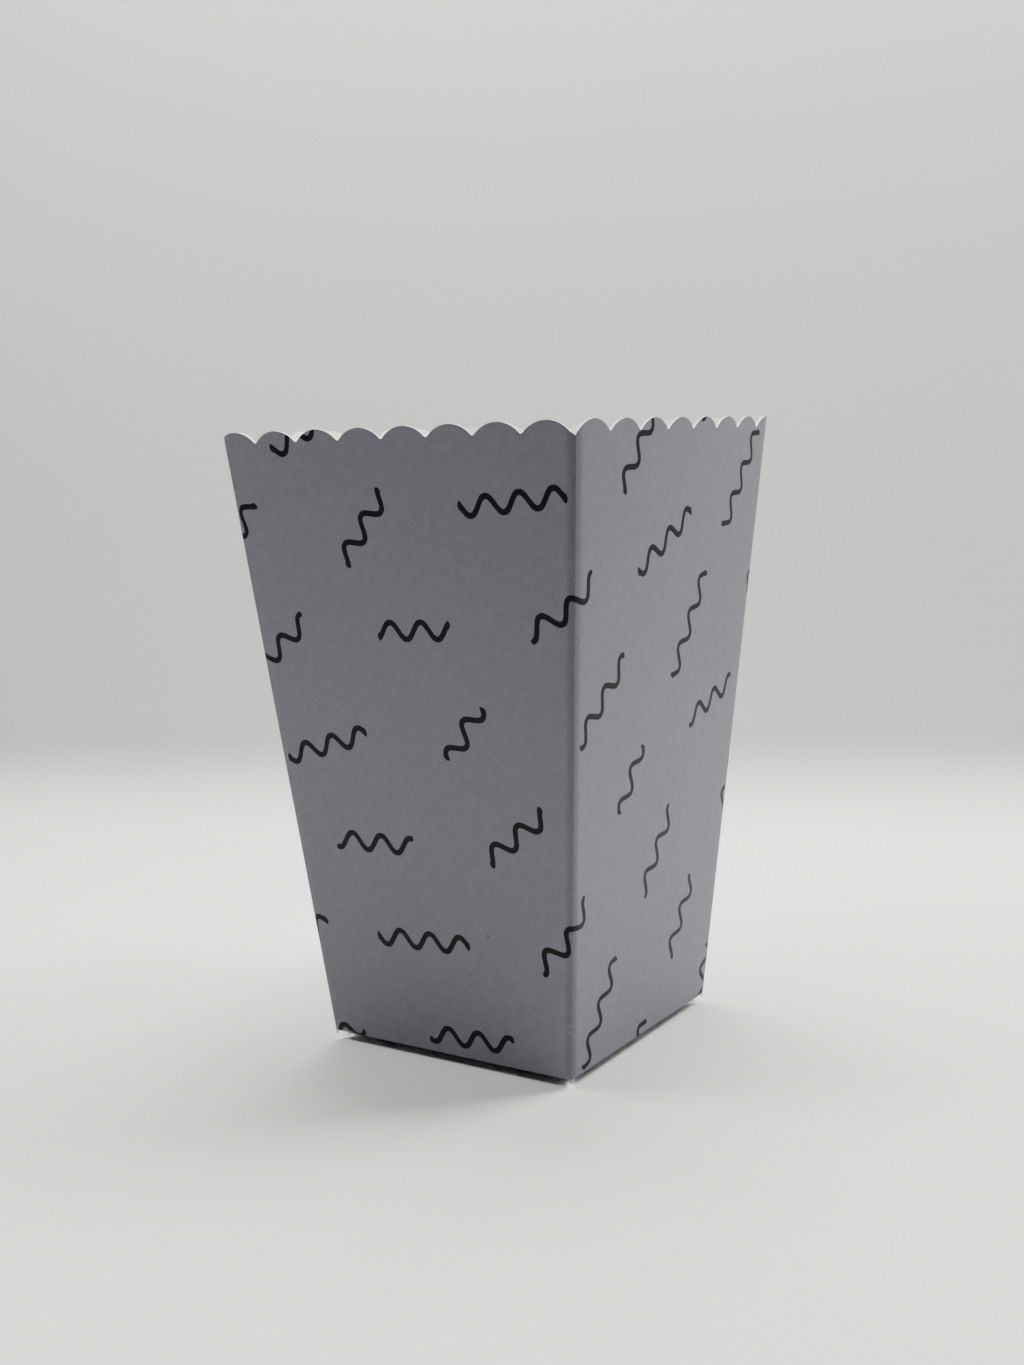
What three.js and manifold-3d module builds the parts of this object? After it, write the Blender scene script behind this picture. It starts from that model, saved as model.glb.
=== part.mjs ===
// Popcorn box: one sheet of printed card, cut, creased, folded up and glued along one seam.
// Four walls lean outwards from a folded base to a scalloped rim.
// Millimetres, +Z up. The origin is on the table, under the middle of the box.
// The front wall faces -Y, the right wall +X, the back wall +Y and the left wall -X.
import * as THREE from "three";
import { mergeVertices } from "three/addons/utils/BufferGeometryUtils.js";
import Module from "manifold-3d";

const wasm = await Module();
wasm.setup();

// The card
const CARD = 0.4;
const CARD_COLOUR = "#77777c";
const CARD_ROUGHNESS = 0.62;

// The walls, measured outside. Tops are taken at the valleys of the rim, bases at the base creases.
const FRONT_TOP = 90;
const FRONT_BASE = 64.6;
const SIDE_TOP = 87.1;
const SIDE_BASE = 62.6;
const WALL_HEIGHT = 135.6;
const SIDE_BOW = 1.6; // how far the middle of a side wall's rim springs outwards
const CORNER_RADIUS = 1.0; // outside radius of the upright creases

// The scalloped rim. On every wall it starts in a valley near one corner and is cut off at the other.
const SCALLOP_PITCH = 11.33;
const SCALLOP_RADIUS = 7.3;
const VALLEY_RADIUS = 0.5;
const FRONT_RIM_START = 1.1; // from the corner to the first valley, on the front and back walls
const SIDE_RIM_START = 0.5; // the same on the side walls

// The base: four flaps folded under, whose middles hang lower than their creases
const BASE_DROP = 1.8; // height of the base creases above the table
const BASE_FOLD_RADIUS = 0.8; // outside radius of the base creases
const BASE_SLOPE_RUN = 9; // how far in from its crease a flap slopes before it lies flat
const MAIN_FLAP_LENGTH = 40; // the front and back flaps overlap under the middle
const MAIN_FLAP_CHAMFER = 2; // length of the slanted ends of a main flap, along and across
const SIDE_FLAP_LENGTH = 24;
const SIDE_FLAP_CHAMFER = 10; // length of the slanted ends of a side flap, along and across
const FLAP_INSET = 2; // uncreased length of a wall's foot at each corner
const FLAP_NICK = 0.3; // width of the nick cut at each end of a base crease
const SCORE = 0.05; // how deep the base creases are pressed into each face of the card
const SCORE_HEIGHT = 0.6; // how far up the wall's foot the pressed card runs

// The glued seam: a tab from the right wall's back edge lies inside the back wall
const TAB_WIDTH = 12;
const TAB_END_SLANT = 6; // how much shorter the tab is along its free edge, at each end
const TAB_CREASE_GAP = 0.3; // from the corner crease's inner curve to the flat of the tab
const TAB_END_GAP = 5; // from the tab's longest edge to the base crease and to the rim's valleys

// Steps in the round and bowed stretches
const SCALLOP_STEPS = 6;
const CORNER_STEPS = 4;
const FOLD_STEPS = 2;
const HEIGHT_STEPS = 4;

// Working allowances
const BITE = 0.02; // how far the tab runs into the wall that it is glued to
const CLEAR = 1; // how far a trimming solid runs past what it trims

const rimZ = BASE_DROP + WALL_HEIGHT;
const rimReach = SCALLOP_RADIUS + VALLEY_RADIUS;
const scallopSwing = Math.asin(SCALLOP_PITCH / 2 / rimReach); // from a scallop's crown to its end
const valleyReach = VALLEY_RADIUS * Math.sin(scallopSwing); // from a valley's middle to its end
const scallopCentreZ = rimZ + VALLEY_RADIUS - rimReach * Math.cos(scallopSwing);
const creaseZ = BASE_DROP + BASE_FOLD_RADIUS; // where a wall's foot starts to bend

const halfFront = (z) => THREE.MathUtils.mapLinear(z, BASE_DROP, rimZ, FRONT_BASE, FRONT_TOP) / 2;
const halfSide = (z) => THREE.MathUtils.mapLinear(z, BASE_DROP, rimZ, SIDE_BASE, SIDE_TOP) / 2;

// The outward spring of a side wall: none at its creases, most at the middle of the rim.
function bow(along, z) {
  const height = (z - BASE_DROP) / WALL_HEIGHT;
  return SIDE_BOW * 4 * along * (1 - along) * height * height;
}

// The height of the rim's edge at a distance along a wall from the corner where its scallops start.
function rimHeight(wall, distance) {
  const past = distance - wall.rimStart;
  if (past < 0) {
    return rimZ;
  }
  const fromValley = Math.abs(past - SCALLOP_PITCH * Math.round(past / SCALLOP_PITCH));
  if (fromValley < valleyReach) {
    return rimZ + VALLEY_RADIUS - Math.sqrt(VALLEY_RADIUS ** 2 - fromValley ** 2);
  }
  return scallopCentreZ + Math.sqrt(SCALLOP_RADIUS ** 2 - (SCALLOP_PITCH / 2 - fromValley) ** 2);
}

// Distances from the corner where a wall's scallops start, wherever the card's edge needs a point:
// round each scallop, in each valley, round the corner creases, and at the nicks in the foot below.
function rimStations({ width, base, rimStart }) {
  const stations = [];
  for (let valley = rimStart; valley < width; valley += SCALLOP_PITCH) {
    stations.push(valley);
    for (let step = -SCALLOP_STEPS / 2; step <= SCALLOP_STEPS / 2; step += 1) {
      const swing = (2 * step * scallopSwing) / SCALLOP_STEPS;
      stations.push(valley + SCALLOP_PITCH / 2 + SCALLOP_RADIUS * Math.sin(swing));
    }
  }
  const spread = (width - 2 * CORNER_RADIUS) / (base - 2 * CORNER_RADIUS);
  for (const foot of [FLAP_INSET - FLAP_NICK, FLAP_INSET]) {
    const inset = CORNER_RADIUS + (foot - CORNER_RADIUS) * spread;
    stations.push(inset, width - inset);
  }
  for (let step = 0; step <= CORNER_STEPS / 2; step += 1) {
    const round = (2 * step * CORNER_RADIUS) / CORNER_STEPS;
    stations.push(round, width - round);
  }
  return stations.filter((distance) => distance <= width);
}

// The same distances from a wall's first corner, in order, without the first corner itself and
// without points that lie too close together.
function wallStations(wall) {
  const apart = VALLEY_RADIUS / 4;
  return rimStations(wall)
    .map((distance) => (wall.backwards ? wall.width - distance : distance))
    .filter((distance) => distance > apart && (distance < wall.width - apart || distance === wall.width))
    .sort((a, b) => a - b)
    .filter((distance, i, sorted) => i === 0 || distance - sorted[i - 1] > apart);
}

// A point on a wall, from the distance along its rim, the height and the depth into the card.
// Each wall owns half of the round crease at both its ends. The wall lies along x, at -y.
function wallPoint(wall, distance, z, depth) {
  const flat = wall.width - 2 * CORNER_RADIUS;
  const along = THREE.MathUtils.clamp((distance - CORNER_RADIUS) / flat, 0, 1);
  const halfFlat = wall.halfWidth(z) - CORNER_RADIUS;
  const round = distance - CORNER_RADIUS - along * flat;
  const angle = ((round / CORNER_RADIUS) * Math.PI) / 4;
  const spring = wall.sprung ? bow(along, z) : 0;
  return [
    (2 * along - 1) * halfFlat + (CORNER_RADIUS - depth) * Math.sin(angle),
    -(wall.half(z) - CORNER_RADIUS + spring) - (CORNER_RADIUS - depth) * Math.cos(angle),
    z,
  ];
}

// Turns a point on a wall round the box to the side that the wall is on.
function turned([x, y, z], quarter) {
  const quarters = [
    [x, y, z],
    [-y, x, z],
    [-x, -y, z],
    [y, -x, z],
  ];
  return quarters[quarter];
}

const frontWall = {
  width: FRONT_TOP,
  base: FRONT_BASE,
  rimStart: FRONT_RIM_START,
  half: halfSide,
  halfWidth: halfFront,
  sprung: false,
};
const sideWall = {
  width: SIDE_TOP,
  base: SIDE_BASE,
  rimStart: SIDE_RIM_START,
  half: halfFront,
  halfWidth: halfSide,
  sprung: true,
};

// The walls in order round the box: front, right, back and left. The scallops run backwards on all
// but the right wall, so those of the front, right and left walls start at the front corners.
const walls = [
  { ...frontWall, quarter: 0, backwards: true },
  { ...sideWall, quarter: 1, backwards: false },
  { ...frontWall, quarter: 2, backwards: true },
  { ...sideWall, quarter: 3, backwards: true },
];

// The sleeve as columns of card round it, each with the heights of its foot and of its rim.
function sleeveColumns() {
  return walls.flatMap((wall) =>
    wallStations(wall).map((distance) => {
      const fromCorner = Math.min(distance, wall.width - distance);
      const shrink = (wall.base - 2 * CORNER_RADIUS) / (wall.width - 2 * CORNER_RADIUS);
      const footInset = CORNER_RADIUS + (fromCorner - CORNER_RADIUS) * shrink;
      return {
        foot: footInset > FLAP_INSET - FLAP_NICK / 2 ? creaseZ : BASE_DROP,
        rim: rimHeight(wall, wall.backwards ? wall.width - distance : distance),
        place: (z, depth) => turned(wallPoint(wall, distance, z, depth), wall.quarter),
      };
    }),
  );
}

// A closed three.js geometry as a solid.
function solid(geometry) {
  geometry.deleteAttribute("normal");
  geometry.deleteAttribute("uv");
  const merged = mergeVertices(geometry, 1e-5);
  return new wasm.Manifold(
    new wasm.Mesh({
      numProp: 3,
      vertProperties: new Float32Array(merged.attributes.position.array),
      triVerts: new Uint32Array(merged.index.array),
    }),
  );
}

// Moves every vertex of a geometry to where place(x, y, z) puts it.
function mapVertices(geometry, place) {
  const position = geometry.attributes.position;
  for (let i = 0; i < position.count; i += 1) {
    position.setXYZ(i, ...place(position.getX(i), position.getY(i), position.getZ(i)));
  }
  return geometry;
}

// The four walls and their creases: a flat strip of card bent into a ring, with its two ends merged.
function sleeve() {
  const columns = sleeveColumns();
  const strip = new THREE.BoxGeometry(1, 1, 1, columns.length, HEIGHT_STEPS, 1);
  const indices = strip.groups
    .slice(2)
    .flatMap((group) => Array.from(strip.index.array.slice(group.start, group.start + group.count)));
  strip.setIndex(indices);
  mapVertices(strip, (x, y, z) => {
    const column = columns[Math.round((x + 0.5) * columns.length) % columns.length];
    return column.place(THREE.MathUtils.lerp(column.foot, column.rim, y + 0.5), (0.5 - z) * CARD);
  });
  return solid(strip);
}

// One base flap in section, from its wall's outer face inwards (x) and upwards (y). Its pressed edge runs
// up inside the wall's foot. It bends through the base crease, slopes down for a stretch, and then
// lies flat at its own level in the stack.
function flapSection({ level, length, half }) {
  const outer = BASE_FOLD_RADIUS - SCORE;
  const inner = BASE_FOLD_RADIUS - CARD + SCORE;
  const drop = creaseZ - level;
  const run = BASE_SLOPE_RUN - BASE_FOLD_RADIUS;
  const slope = Math.atan2(drop, run) - Math.asin(outer / Math.hypot(drop, run));
  const lean = ((half(rimZ) - half(BASE_DROP)) / WALL_HEIGHT) * SCORE_HEIGHT;
  const section = new THREE.Shape();
  section.moveTo(SCORE - lean, creaseZ + SCORE_HEIGHT);
  section.lineTo(SCORE, creaseZ);
  section.absarc(BASE_FOLD_RADIUS, creaseZ, outer, Math.PI, 1.5 * Math.PI - slope, false);
  section.lineTo(BASE_SLOPE_RUN, level);
  section.lineTo(length, level);
  section.lineTo(length, level + CARD);
  section.lineTo(BASE_SLOPE_RUN + CARD * Math.tan(slope / 2), level + CARD);
  section.absarc(BASE_FOLD_RADIUS, creaseZ, inner, 1.5 * Math.PI - slope, Math.PI, true);
  section.lineTo(CARD - SCORE - lean, creaseZ + SCORE_HEIGHT);
  section.closePath();
  return section;
}

// A base flap seen from above: as wide as its crease at the wall, with slanted ends.
function flapPlan({ length, halfWidth, chamfer }) {
  const plan = new THREE.Shape();
  plan.moveTo(-halfWidth, -CLEAR);
  plan.lineTo(halfWidth, -CLEAR);
  plan.lineTo(halfWidth, 0);
  plan.lineTo(halfWidth - chamfer, chamfer);
  plan.lineTo(halfWidth - chamfer, length + CLEAR);
  plan.lineTo(chamfer - halfWidth, length + CLEAR);
  plan.lineTo(chamfer - halfWidth, chamfer);
  plan.lineTo(-halfWidth, 0);
  plan.closePath();
  return plan;
}

// A base flap: its section run along the wall's foot, and trimmed to its outline from above.
function flap(sizes) {
  const extent = sizes.halfWidth + CLEAR;
  const foot = sizes.half(creaseZ);
  const bent = new THREE.ExtrudeGeometry(flapSection(sizes), {
    depth: 2 * extent,
    steps: 1,
    curveSegments: FOLD_STEPS,
    bevelEnabled: false,
  });
  mapVertices(bent, (inwards, up, along) => turned([along - extent, inwards - foot, up], sizes.quarter));
  const trim = new THREE.ExtrudeGeometry(flapPlan(sizes), {
    depth: creaseZ + SCORE_HEIGHT + 2 * CLEAR,
    steps: 1,
    bevelEnabled: false,
  });
  mapVertices(trim, (x, y, z) => turned([x, y - foot, z - CLEAR], sizes.quarter));
  return solid(bent).intersect(solid(trim));
}

// The glue tab, bent from the right wall's back edge and lying flat inside the back wall.
function glueTab() {
  const low = BASE_DROP + TAB_END_GAP;
  const high = rimZ - TAB_END_GAP;
  const outline = new THREE.Shape();
  outline.moveTo(0, low);
  outline.lineTo(0, high);
  outline.lineTo(TAB_WIDTH, high - TAB_END_SLANT);
  outline.lineTo(TAB_WIDTH, low + TAB_END_SLANT);
  outline.closePath();
  const tab = new THREE.ExtrudeGeometry(outline, { depth: CARD + BITE, steps: 1, bevelEnabled: false });
  mapVertices(tab, (inwards, up, out) => [
    halfFront(up) - CORNER_RADIUS - TAB_CREASE_GAP - inwards,
    halfSide(up) - 2 * CARD + out,
    up,
  ]);
  return solid(tab);
}

// The flaps stack from the table up: front, back, and the two side flaps on top.
const mainFlap = {
  length: MAIN_FLAP_LENGTH,
  halfWidth: FRONT_BASE / 2 - FLAP_INSET,
  chamfer: MAIN_FLAP_CHAMFER,
  half: halfSide,
};
const sideFlap = {
  length: SIDE_FLAP_LENGTH,
  halfWidth: SIDE_BASE / 2 - FLAP_INSET,
  chamfer: SIDE_FLAP_CHAMFER,
  half: halfFront,
};
const pieces = [
  flap({ ...mainFlap, level: 0, quarter: 0 }),
  flap({ ...mainFlap, level: CARD, quarter: 2 }),
  flap({ ...sideFlap, level: 2 * CARD, quarter: 1 }),
  flap({ ...sideFlap, level: 2 * CARD, quarter: 3 }),
  glueTab(),
];
const folded = pieces.reduce((sheet, piece) => sheet.add(piece), sleeve());
const { vertProperties, triVerts } = folded.getMesh();
const geometry = new THREE.BufferGeometry();
geometry.setAttribute("position", new THREE.BufferAttribute(vertProperties, 3));
geometry.setIndex(new THREE.BufferAttribute(triVerts, 1));
geometry.computeVertexNormals();

const carton = new THREE.Mesh(
  geometry,
  new THREE.MeshStandardMaterial({ color: CARD_COLOUR, roughness: CARD_ROUGHNESS, metalness: 0 }),
);
carton.name = "carton";

const popcornBox = new THREE.Group();
popcornBox.add(carton);

export default popcornBox;
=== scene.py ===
"""Popcorn box: a folding carton of printed card with a scalloped rim, on a pale studio sweep."""
import math

import bpy
import bmesh
from mathutils import Matrix, Vector, noise


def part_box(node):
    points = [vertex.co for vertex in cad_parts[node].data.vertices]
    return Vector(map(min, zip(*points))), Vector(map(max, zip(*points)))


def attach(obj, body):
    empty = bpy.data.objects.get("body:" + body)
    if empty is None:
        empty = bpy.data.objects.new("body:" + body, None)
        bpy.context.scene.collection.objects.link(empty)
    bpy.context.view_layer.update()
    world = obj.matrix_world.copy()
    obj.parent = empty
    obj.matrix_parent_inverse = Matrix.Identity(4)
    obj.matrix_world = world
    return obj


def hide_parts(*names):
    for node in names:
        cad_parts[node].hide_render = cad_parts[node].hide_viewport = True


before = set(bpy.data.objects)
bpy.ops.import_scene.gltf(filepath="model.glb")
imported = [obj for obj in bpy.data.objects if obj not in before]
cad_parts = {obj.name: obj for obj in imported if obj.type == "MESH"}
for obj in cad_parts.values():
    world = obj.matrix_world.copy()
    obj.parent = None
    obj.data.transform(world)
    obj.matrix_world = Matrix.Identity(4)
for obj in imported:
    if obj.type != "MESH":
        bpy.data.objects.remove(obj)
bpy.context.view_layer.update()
carton_low, carton_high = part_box("carton")

bl_info = {
    "name": "Popcorn box",
    "version": (1, 0, 0),
    "blender": (4, 5, 0),
    "location": "3D View > Sidebar > Popcorn box",
    "description": "Folds a scalloped popcorn box from one sheet of printed card",
    "category": "Add Mesh",
}

MM = 0.001

# How finely the card is divided.
SCALLOP_STEPS = 12
VALLEY_STEPS = 2
CORNER_STEPS = 3
DIP_STEPS = 4
WALL_ROWS = 30
FOLD_ROWS = 6
SLOPE_ROWS = 3
FLAT_ROWS = 5
FLAP_ROWS = FOLD_ROWS + SLOPE_ROWS + FLAT_ROWS
TAB_STEPS = 4
SWEEP_STEPS = 24

RIPPLES_ACROSS = 2.1  # how often a wall's unevenness changes across it
RIPPLES_UP = 2.6  # and from its foot to its rim
RIPPLE_SHIFT = 7.0  # takes each wall to another part of the noise
RIPPLE_SLICE = 0.4  # the level at which the noise is cut
FAR = 1.0  # stands for a distance that is too great to matter
FRAME_TOLERANCE = 0.5 * MM
SHARP_ANGLE = math.radians(40)
PRINTED, BARE = 0, 1  # material slots of the card's outside, and of its inside and cut edges
INK_EDGE = 0.06  # softness of a printed line's edge, in millimetres

# A Mix node has sockets of the same name for each kind of data, so they are called by number.
NUMBER_A, NUMBER_B, NUMBER_OUT = 2, 3, 0
COLOUR_A, COLOUR_B, COLOUR_OUT = 6, 7, 2

# The brown fleck's place on the front wall: right of the wall's middle, and up from the base crease.
SPECK_FROM_MIDDLE = 14.0 * MM
SPECK_UP = 30.0 * MM


class PopcornBoxSizes(bpy.types.PropertyGroup):
    """Sizes of the folded card, measured outside."""

    card: bpy.props.FloatProperty(
        name="Card thickness", description="Thickness of the folding board",
        default=0.4 * MM, unit="LENGTH", precision=5)
    front_top: bpy.props.FloatProperty(
        name="Front top width", description="Front and back walls, across the rim's valleys",
        default=90.0 * MM, unit="LENGTH", precision=4)
    front_base: bpy.props.FloatProperty(
        name="Front base width", description="Front and back walls, along the base crease",
        default=64.6 * MM, unit="LENGTH", precision=4)
    side_top: bpy.props.FloatProperty(
        name="Side top width", description="Side walls, across the rim's valleys",
        default=87.1 * MM, unit="LENGTH", precision=4)
    side_base: bpy.props.FloatProperty(
        name="Side base width", description="Side walls, along the base crease",
        default=62.6 * MM, unit="LENGTH", precision=4)
    side_bow: bpy.props.FloatProperty(
        name="Side bow", description="Outward spring of a side wall at the middle of its rim",
        default=1.6 * MM, unit="LENGTH", precision=4)
    corner_radius: bpy.props.FloatProperty(
        name="Corner radius", description="Outside radius of the upright creases",
        default=0.6 * MM, unit="LENGTH", precision=4)
    crease_dip: bpy.props.FloatProperty(
        name="Crease dip", description="How far the creasing rule has pressed in an upright crease",
        default=0.22 * MM, unit="LENGTH", precision=5)
    crease_reach: bpy.props.FloatProperty(
        name="Crease reach", description="Width of the pressed strip on each side of an upright crease",
        default=2.2 * MM, unit="LENGTH", precision=4)
    scallop_pitch: bpy.props.FloatProperty(
        name="Scallop pitch", description="From one valley of the rim to the next",
        default=11.33 * MM, unit="LENGTH", precision=4)
    scallop_radius: bpy.props.FloatProperty(
        name="Scallop radius", description="Radius of each scallop's arc",
        default=7.3 * MM, unit="LENGTH", precision=4)
    valley_radius: bpy.props.FloatProperty(
        name="Valley radius", description="Radius between two scallops",
        default=0.5 * MM, unit="LENGTH", precision=4)
    front_rim_start: bpy.props.FloatProperty(
        name="Front rim start", description="From the corner to the first valley of a front or back wall",
        default=1.1 * MM, unit="LENGTH", precision=4)
    side_rim_start: bpy.props.FloatProperty(
        name="Side rim start", description="From the corner to the first valley of a side wall",
        default=0.5 * MM, unit="LENGTH", precision=4)
    corner_notch: bpy.props.FloatProperty(
        name="Corner notch", description="How far the rim runs down from its first valley to the crease",
        default=0.7 * MM, unit="LENGTH", precision=4)
    base_drop: bpy.props.FloatProperty(
        name="Base drop", description="Height of the base creases above the table",
        default=1.8 * MM, unit="LENGTH", precision=4)
    base_fold_radius: bpy.props.FloatProperty(
        name="Base fold radius", description="Outside radius of the base creases",
        default=0.8 * MM, unit="LENGTH", precision=4)
    base_slope_run: bpy.props.FloatProperty(
        name="Base slope run", description="How far in a base flap slopes before it lies flat",
        default=9.0 * MM, unit="LENGTH", precision=4)
    main_flap_length: bpy.props.FloatProperty(
        name="Main flap length", description="Front and back base flaps",
        default=40.0 * MM, unit="LENGTH", precision=4)
    main_flap_chamfer: bpy.props.FloatProperty(
        name="Main flap chamfer", description="Slanted ends of the front and back base flaps",
        default=2.0 * MM, unit="LENGTH", precision=4)
    side_flap_length: bpy.props.FloatProperty(
        name="Side flap length", description="Base flaps of the side walls",
        default=24.0 * MM, unit="LENGTH", precision=4)
    side_flap_chamfer: bpy.props.FloatProperty(
        name="Side flap chamfer", description="Slanted ends of the side base flaps",
        default=10.0 * MM, unit="LENGTH", precision=4)
    flap_inset: bpy.props.FloatProperty(
        name="Flap inset", description="Uncreased foot of a wall at each corner",
        default=1.3 * MM, unit="LENGTH", precision=4)
    foot_tip: bpy.props.FloatProperty(
        name="Foot tip", description="How far the card's worn corner hangs below the base crease",
        default=0.9 * MM, unit="LENGTH", precision=4)
    flap_nick: bpy.props.FloatProperty(
        name="Flap nick", description="Nick at each end of a base crease",
        default=0.3 * MM, unit="LENGTH", precision=4)
    flap_gap: bpy.props.FloatProperty(
        name="Flap gap", description="Air between stacked layers of card",
        default=0.03 * MM, unit="LENGTH", precision=5)
    tab_width: bpy.props.FloatProperty(
        name="Tab width", description="Glue tab inside the back wall",
        default=12.0 * MM, unit="LENGTH", precision=4)
    tab_slant: bpy.props.FloatProperty(
        name="Tab slant", description="How much shorter the tab is along its free edge, at each end",
        default=6.0 * MM, unit="LENGTH", precision=4)
    tab_end_gap: bpy.props.FloatProperty(
        name="Tab end gap", description="From the tab's longest edge to the base crease and to the rim",
        default=5.0 * MM, unit="LENGTH", precision=4)
    seam_edge_gap: bpy.props.FloatProperty(
        name="Seam edge gap", description="From the back wall's cut edge to the right wall's face",
        default=0.5 * MM, unit="LENGTH", precision=4)
    ripple: bpy.props.FloatProperty(
        name="Ripple", description="Slight unevenness of the large card faces",
        default=0.12 * MM, unit="LENGTH", precision=5)


class PopcornBoxPrint(bpy.types.PropertyGroup):
    """Colours of the card and sizes of the printed wavy lines."""

    card_hex: bpy.props.StringProperty(
        name="Printed grey", description="Flood of grey ink on the outside, as sRGB hex", default="#77767E")
    ink_hex: bpy.props.StringProperty(
        name="Line ink", description="Black ink of the wavy lines, as sRGB hex", default="#0B0B0D")
    board_hex: bpy.props.StringProperty(
        name="Bare board", description="White inside and cut edges, as sRGB hex", default="#F2F0EC")
    fibre_hex: bpy.props.StringProperty(
        name="Worn crease", description="Board fibres that show where the crease is worn", default="#DAD8D6")
    speck_hex: bpy.props.StringProperty(
        name="Speck", description="Brown fleck in the board, as sRGB hex", default="#5A4438")
    line_width: bpy.props.FloatProperty(
        name="Line width", description="Width of a printed wavy line",
        default=1.25 * MM, unit="LENGTH", precision=4)
    wave_height: bpy.props.FloatProperty(
        name="Wave height", description="From trough to crest, along the middle of the line",
        default=3.6 * MM, unit="LENGTH", precision=4)
    wave_pitch: bpy.props.FloatProperty(
        name="Wave pitch", description="From one crest to the next",
        default=8.0 * MM, unit="LENGTH", precision=4)
    wave_shortest: bpy.props.FloatProperty(
        name="Shortest wave", description="Length of the shortest wavy line",
        default=14.0 * MM, unit="LENGTH", precision=4)
    wave_length_range: bpy.props.FloatProperty(
        name="Wave length range", description="How much longer the longest wavy line is",
        default=12.0 * MM, unit="LENGTH", precision=4)
    tilt: bpy.props.FloatProperty(
        name="Tilt", description="Middle tilt of the wavy lines", default=math.radians(10.0), subtype="ANGLE")
    tilt_range: bpy.props.FloatProperty(
        name="Tilt range", description="Spread of the tilts", default=math.radians(70.0), subtype="ANGLE")
    repeat_across: bpy.props.FloatProperty(
        name="Repeat across", description="Spacing of the wavy lines across the blank",
        default=36.0 * MM, unit="LENGTH", precision=4)
    repeat_up: bpy.props.FloatProperty(
        name="Repeat up", description="Spacing of the wavy lines up the blank",
        default=24.0 * MM, unit="LENGTH", precision=4)


class PopcornBoxStage(bpy.types.PropertyGroup):
    """The pale sweep, the soft lights and the camera."""

    floor_hex: bpy.props.StringProperty(
        name="Floor", description="Matt white floor of the light tent, as sRGB hex", default="#ECECEA")
    backdrop_hex: bpy.props.StringProperty(
        name="Backdrop", description="Pale grey backdrop of the light tent, as sRGB hex", default="#C3C3C1")
    room_hex: bpy.props.StringProperty(
        name="Room", description="Pale room beyond the sweep, as sRGB hex", default="#D0D0CE")
    camera_place: bpy.props.FloatVectorProperty(
        name="Camera place", description="From the middle of the box's foot",
        default=(203.3 * MM, -309.2 * MM, 135.9 * MM), subtype="TRANSLATION", unit="LENGTH")
    camera_yaw: bpy.props.FloatProperty(
        name="Camera yaw", description="Turn to the left from looking straight at the front",
        default=math.radians(33.33), subtype="ANGLE")
    camera_pitch: bpy.props.FloatProperty(
        name="Camera pitch", description="Tilt downwards", default=math.radians(-8.45), subtype="ANGLE")
    camera_roll: bpy.props.FloatProperty(
        name="Camera roll", description="Roll about the line of sight",
        default=math.radians(1.95), subtype="ANGLE")
    camera_lens: bpy.props.FloatProperty(
        name="Lens", description="Focal length on a 36 mm long side, in millimetres", default=42.75)
    sweep_start: bpy.props.FloatProperty(
        name="Sweep start", description="From the box to where the floor starts to curve up",
        default=0.173, unit="LENGTH")
    sweep_radius: bpy.props.FloatProperty(
        name="Sweep radius", description="Radius of the curve from floor to backdrop",
        default=0.03, unit="LENGTH")
    sweep_turn: bpy.props.FloatProperty(
        name="Sweep turn", description="Turn that brings the backdrop nearer on the right",
        default=math.radians(9.0), subtype="ANGLE")
    sweep_width: bpy.props.FloatProperty(
        name="Sweep width", description="Width of the floor and the backdrop", default=1.5, unit="LENGTH")
    floor_front: bpy.props.FloatProperty(
        name="Floor front", description="From the box to the front edge of the floor",
        default=0.3, unit="LENGTH")
    backdrop_height: bpy.props.FloatProperty(
        name="Backdrop height", description="Height of the backdrop", default=1.2, unit="LENGTH")
    back_power: bpy.props.FloatProperty(
        name="Back light", description="Power of the overhead light at the back, in watts", default=4.5)
    left_power: bpy.props.FloatProperty(
        name="Left light", description="Power of the overhead light on the left, in watts", default=1.9)
    right_power: bpy.props.FloatProperty(
        name="Right light", description="Power of the overhead light on the right, in watts", default=2.8)
    side_power: bpy.props.FloatProperty(
        name="Side light", description="Power of the low soft light at the back on the right, in watts",
        default=2.1)


def linear_colour(hex_code):
    """An sRGB hex colour as the linear RGBA that the shaders take."""
    values = [int(hex_code[i:i + 2], 16) / 255 for i in (1, 3, 5)]
    return tuple(v / 12.92 if v <= 0.04045 else ((v + 0.055) / 1.055) ** 2.4 for v in values) + (1.0,)


def add_node(tree, kind, inputs, **settings):
    """Adds a node with its settings, and feeds each named input a value or another node's output."""
    made = tree.nodes.new(kind)
    for name, value in settings.items():
        setattr(made, name, value)
    for name, value in inputs.items():
        if isinstance(value, bpy.types.NodeSocket):
            tree.links.new(value, made.inputs[name])
        else:
            made.inputs[name].default_value = value
    return made


def new_material(name):
    """An empty node material with its output, and the Principled shader that feeds it."""
    material = bpy.data.materials.new(name)
    material.use_nodes = True
    tree = material.node_tree
    tree.nodes.clear()
    shader = add_node(tree, "ShaderNodeBsdfPrincipled", {})
    add_node(tree, "ShaderNodeOutputMaterial", {"Surface": shader.outputs["BSDF"]})
    return material, tree, shader


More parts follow.
